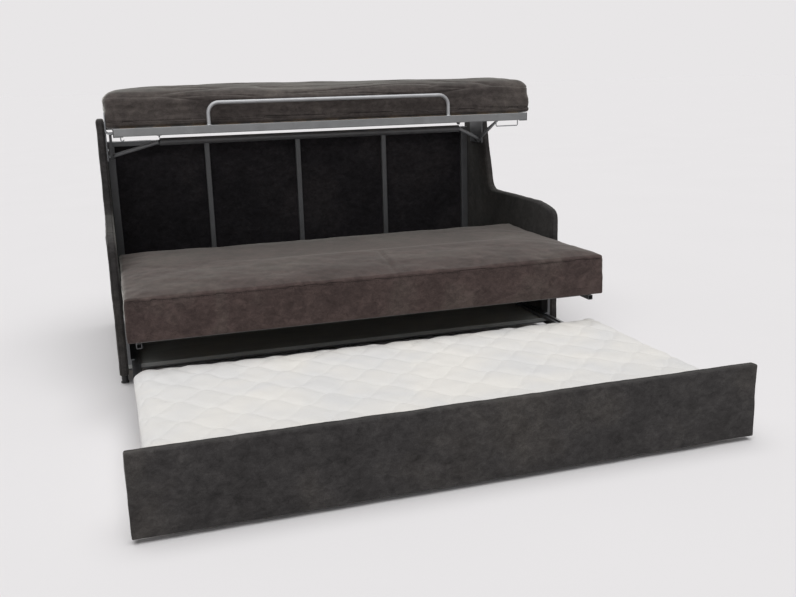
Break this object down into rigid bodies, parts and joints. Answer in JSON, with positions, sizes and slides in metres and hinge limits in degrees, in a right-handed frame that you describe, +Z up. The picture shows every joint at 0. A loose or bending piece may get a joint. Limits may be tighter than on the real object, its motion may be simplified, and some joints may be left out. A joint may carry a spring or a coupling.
{
  "type": "sofa bed",
  "caption": "Upholstered sofa bed, fully opened: a bunk that folds down as the backrest, a sliding seat and a roll-out trundle bed between padded side panels.",
  "frame": {"origin": "on the floor, at the centre of the opened object's bounding box", "axes": "+Z up, +Y from the trundle front towards the back panel, +X to the right of someone facing the back"},
  "size_m": [1.98, 2.44, 1.18],
  "materials": {
    "charcoal_fabric": "matt charcoal suede weave",
    "brown_grey_fabric": "matt brown grey suede weave",
    "bunk_fabric": "matt brown grey suede weave, lightly wrinkled",
    "white_quilting": "white knitted ticking, quilted",
    "board": "dark stained plywood and fibreboard",
    "slat_wood": "bare laminated wood",
    "dark_steel": "dark grey powder coat, satin",
    "grey_steel": "silver grey powder coat, satin",
    "pale_steel": "pale silver powder coat, satin",
    "zinc": "zinc plated",
    "black_plastic": "matt black moulding",
    "tyre": "matt dark rubber"
  },
  "bodies": {
    "carcass": {"side_cover_left": "charcoal_fabric", "side_cover_right": "charcoal_fabric", "side_core_left": "board", "side_core_right": "board", "feet": "black_plastic", "back_cover": "charcoal_fabric", "back_core": "board", "back_posts": "dark_steel", "back_uprights": "dark_steel", "back_top_rail": "dark_steel", "back_bottom_rail": "dark_steel", "bottom_board": "board", "front_stretcher": "dark_steel", "board_battens": "slat_wood", "seat_tracks": "zinc", "front_posts": "dark_steel", "runner_fixed": "zinc", "pivot_brackets": "dark_steel", "pin_caps": "black_plastic", "bracket_bolts": "zinc"},
    "bunk": {"bunk_front_rail": "grey_steel", "bunk_rear_rail": "grey_steel", "bunk_end_rails": "grey_steel", "rail_end_caps": "black_plastic", "bunk_slats": "slat_wood", "slat_holders": "black_plastic", "bunk_cross_tubes": "grey_steel", "stay_lugs": "grey_steel", "guard_rail": "pale_steel", "mattress_stop": "zinc", "wire_hooks": "zinc", "corner_plates": "grey_steel", "bunk_mattress": "bunk_fabric"},
    "stays": {"stay_arms": "dark_steel", "stay_pads": "black_plastic", "stay_cross_tube": "dark_steel", "stay_braces": "dark_steel"},
    "seat": {"seat_cushion": "brown_grey_fabric", "seat_rails": "dark_steel", "seat_cross_tubes": "dark_steel", "seat_slats": "slat_wood"},
    "trundle": {"trundle_front_cover": "charcoal_fabric", "trundle_front_core": "board", "trundle_side_tubes": "dark_steel", "trundle_cross_tubes": "dark_steel", "trundle_slats": "slat_wood", "trundle_mattress": "white_quilting", "runner_inner": "zinc", "wheel_forks": "zinc", "wheel_axles": "zinc"},
    "runner_middle": {"runner_middle": "zinc"},
    "wheel_left": {"wheel_hub_left": "black_plastic", "wheel_tyre_left": "tyre"},
    "wheel_right": {"wheel_hub_right": "black_plastic", "wheel_tyre_right": "tyre"},
    "front_roller_left": {"seat_front_roller_left": "black_plastic"},
    "front_roller_right": {"seat_front_roller_right": "black_plastic"},
    "rear_roller_left": {"seat_rear_roller_left": "black_plastic"},
    "rear_roller_right": {"seat_rear_roller_right": "black_plastic"}
  },
  "joints": [
    {"name": "bunk_fold", "type": "hinge", "parent": "carcass", "child": "bunk", "pos_m": [0, 0.9, 1.0075], "axis": [1, 0, 0], "range_deg": [0, 73]},
    {"name": "stay_swing", "type": "hinge", "parent": "carcass", "child": "stays", "pos_m": [0, 0.977, 0.867], "axis": [1, 0, 0], "range_deg": [0, 78.6]},
    {"name": "seat_slide", "type": "slide", "parent": "carcass", "child": "seat", "axis": [0, 1, 0], "range_m": [0, 0.479]},
    {"name": "trundle_slide", "type": "slide", "parent": "carcass", "child": "trundle", "axis": [0, 1, 0], "range_m": [0, 1.3445]},
    {"name": "runner_slide", "type": "slide", "parent": "carcass", "child": "runner_middle", "axis": [0, 1, 0], "range_m": [0, 0.6723]},
    {"name": "wheel_left_spin", "type": "hinge", "parent": "trundle", "child": "wheel_left", "pos_m": [-0.76, -1.154, 0.025], "axis": [1, 0, 0], "continuous": true},
    {"name": "front_roller_left_spin", "type": "hinge", "parent": "carcass", "child": "front_roller_left", "pos_m": [-0.91, 0.208, 0.2626], "axis": [1, 0, 0], "continuous": true},
    {"name": "rear_roller_left_spin", "type": "hinge", "parent": "seat", "child": "rear_roller_left", "pos_m": [-0.9425, 0.58, 0.2847], "axis": [1, 0, 0], "continuous": true},
    {"name": "wheel_right_spin", "type": "hinge", "parent": "trundle", "child": "wheel_right", "pos_m": [0.76, -1.154, 0.025], "axis": [1, 0, 0], "continuous": true},
    {"name": "front_roller_right_spin", "type": "hinge", "parent": "carcass", "child": "front_roller_right", "pos_m": [0.91, 0.208, 0.2626], "axis": [1, 0, 0], "continuous": true},
    {"name": "rear_roller_right_spin", "type": "hinge", "parent": "seat", "child": "rear_roller_right", "pos_m": [0.9425, 0.58, 0.2847], "axis": [1, 0, 0], "continuous": true}
  ],
  "couplings": [
    {"joint": "stay_swing", "follows": "bunk_fold", "ratio": 1.0766},
    {"joint": "runner_slide", "follows": "trundle_slide", "ratio": 0.5}
  ]
}
